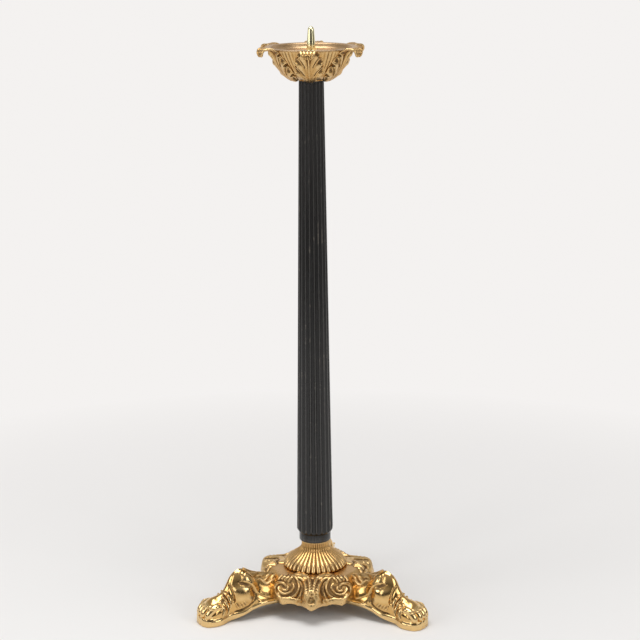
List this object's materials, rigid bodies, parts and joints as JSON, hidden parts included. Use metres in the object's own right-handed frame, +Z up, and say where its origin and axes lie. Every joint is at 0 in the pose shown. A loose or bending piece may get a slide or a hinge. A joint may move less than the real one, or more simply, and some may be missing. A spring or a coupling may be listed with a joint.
{
  "type": "pricket candlestick",
  "caption": "Tall pricket candlestick: leaf cup and drip pan on a fluted column with a bell collar, on a cast tripod with paw feet.",
  "frame": {"origin": "on the column's axis at floor level, midway between the three paws", "axes": "+Z up along the column; the front side, midway between two legs, faces -Y and the third leg points to +Y"},
  "size_m": [0.285, 0.2521, 0.7],
  "materials": {
    "polished_brass": "polished cast brass, warm gold",
    "chased_brass": "satin cast brass with brown patina in the recesses",
    "black_bronze": "black patinated bronze, satin, lightly worn on the lands",
    "spun_brass": "spun brass sheet, softly brushed",
    "pale_brass": "turned pale brass",
    "zinc_steel": "plain steel fasteners"
  },
  "bodies": {
    "root": {"tripod_plate": "chased_brass", "leg_left": "polished_brass", "leg_right": "polished_brass", "leg_back": "polished_brass", "leg_screws": "zinc_steel", "collar": "chased_brass", "column": "black_bronze", "acanthus_cup": "chased_brass", "drip_pan": "spun_brass", "pricket": "pale_brass", "tie_rod": "zinc_steel", "rod_washer": "zinc_steel", "rod_nut": "zinc_steel"}
  },
  "joints": []
}
